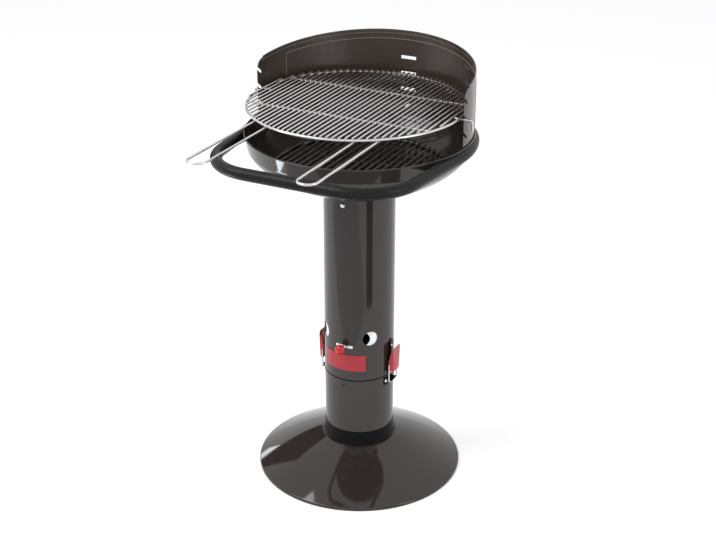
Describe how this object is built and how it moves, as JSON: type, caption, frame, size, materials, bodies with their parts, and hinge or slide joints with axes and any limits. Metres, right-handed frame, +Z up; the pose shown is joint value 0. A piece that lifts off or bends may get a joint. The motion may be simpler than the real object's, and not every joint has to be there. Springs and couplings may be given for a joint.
{
  "type": "charcoal grill",
  "caption": "Round charcoal grill on a single column: bowl with a tubular handle loop, arched slotted windscreen, wire grid with long handles, turning vent, toggle latches and a dished foot.",
  "frame": {"origin": "centre of the round foot, on the floor it rests on", "axes": "+Z up along the column, -Y to the front where the handle's bar and the grid's handles are, +Y to the windscreen, +X to the right seen from the front"},
  "size_m": [0.525, 0.7294, 0.979],
  "materials": {
    "enamel": "gloss",
    "black_paint": "satin",
    "handle_coat": "matt",
    "red_paint": "satin",
    "label_red": "gloss",
    "knob_red": "gloss",
    "galvanised": "satin",
    "wire_chrome": "polished",
    "grate_steel": "satin",
    "zinc": "bright"
  },
  "bodies": {
    "stand": {"base_dish": "enamel", "foot_collar": "black_paint", "base_nuts": "zinc", "ash_pot": "enamel", "column_tube": "enamel", "label_plate": "label_red", "latch_bracket_left": "black_paint", "latch_bracket_right": "black_paint", "latch_pin_left": "zinc", "latch_pin_right": "zinc", "pot_catch_left": "black_paint", "pot_catch_right": "black_paint", "latch_rivets": "zinc", "catch_rivets": "zinc", "bowl": "enamel", "bowl_socket": "black_paint", "bowl_bolts": "zinc", "bowl_nuts": "zinc", "handle_loop": "handle_coat", "handle_screws": "zinc"},
    "vent": {"vent_sleeve": "galvanised", "vent_knob_stem": "zinc", "vent_knob": "knob_red"},
    "lever_left": {"latch_lever_left": "red_paint"},
    "lever_right": {"latch_lever_right": "red_paint"},
    "bail_left": {"latch_bail_left": "wire_chrome"},
    "bail_right": {"latch_bail_right": "wire_chrome"},
    "fire_grate": {"fire_grate_ring": "grate_steel", "fire_grate_bars": "grate_steel"},
    "screen": {"windscreen": "enamel"},
    "grid": {"grid_ring": "wire_chrome", "grid_bars": "wire_chrome", "grid_cross_wires": "wire_chrome", "grid_handle_left": "wire_chrome", "grid_handle_right": "wire_chrome", "grid_side_hooks": "wire_chrome", "grid_rear_hook": "wire_chrome"}
  },
  "joints": [
    {"name": "vent_turn", "type": "hinge", "parent": "stand", "child": "vent", "pos_m": [0, 0, 0.3306], "axis": [0, 0, 1], "range_deg": [-13, 13]},
    {"name": "latch_lever_right", "type": "hinge", "parent": "stand", "child": "lever_right", "pos_m": [0.088, 0, 0.258], "axis": [0, 1, 0], "range_deg": [0, 95]},
    {"name": "latch_lever_left", "type": "hinge", "parent": "stand", "child": "lever_left", "pos_m": [-0.088, 0, 0.258], "axis": [0, -1, 0], "range_deg": [0, 95]},
    {"name": "latch_bail_right", "type": "hinge", "parent": "lever_right", "child": "bail_right", "pos_m": [0.08605, 0, 0.27388], "axis": [0, 1, 0], "range_deg": [-95, 0]},
    {"name": "latch_bail_left", "type": "hinge", "parent": "lever_left", "child": "bail_left", "pos_m": [-0.08605, 0, 0.27388], "axis": [0, -1, 0], "range_deg": [-95, 0]},
    {"name": "grate_lift", "type": "slide", "parent": "stand", "child": "fire_grate", "axis": [0, 0, 1], "range_m": [0, 0.06]},
    {"name": "windscreen_lift", "type": "slide", "parent": "stand", "child": "screen", "axis": [0, 0, 1], "range_m": [0, 0.1]},
    {"name": "grid_pull", "type": "slide", "parent": "screen", "child": "grid", "axis": [0, -0.788, 0.6157], "range_m": [0, 0.06]}
  ],
  "couplings": [
    {"joint": "latch_bail_right", "follows": "latch_lever_right", "ratio": -1},
    {"joint": "latch_bail_left", "follows": "latch_lever_left", "ratio": -1}
  ]
}
